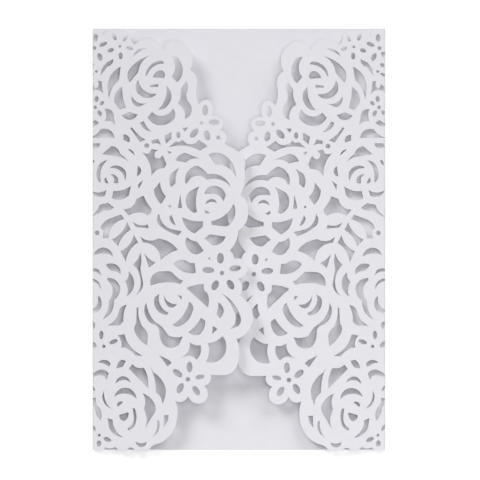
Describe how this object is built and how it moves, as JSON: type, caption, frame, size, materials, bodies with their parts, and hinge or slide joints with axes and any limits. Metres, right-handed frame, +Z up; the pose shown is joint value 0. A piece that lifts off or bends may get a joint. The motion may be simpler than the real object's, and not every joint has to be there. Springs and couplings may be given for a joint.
{
  "type": "laser-cut gatefold invitation card",
  "caption": "Gatefold invitation card of one folded sheet, with a plain back and two flaps pierced as rose lace, one lying over the other at the middle.",
  "frame": {"origin": "under the middle of the back, on the surface that the card lies on", "axes": "+X across the card towards the lower flap's fold, +Y towards the top of the card, +Z up, out of the front"},
  "size_m": [0.125, 0.18, 0.0098],
  "materials": {
    "pearl_card": "pearlescent white card stock with a soft sheen"
  },
  "bodies": {
    "root": {"gatefold_card": "pearl_card"}
  },
  "joints": []
}
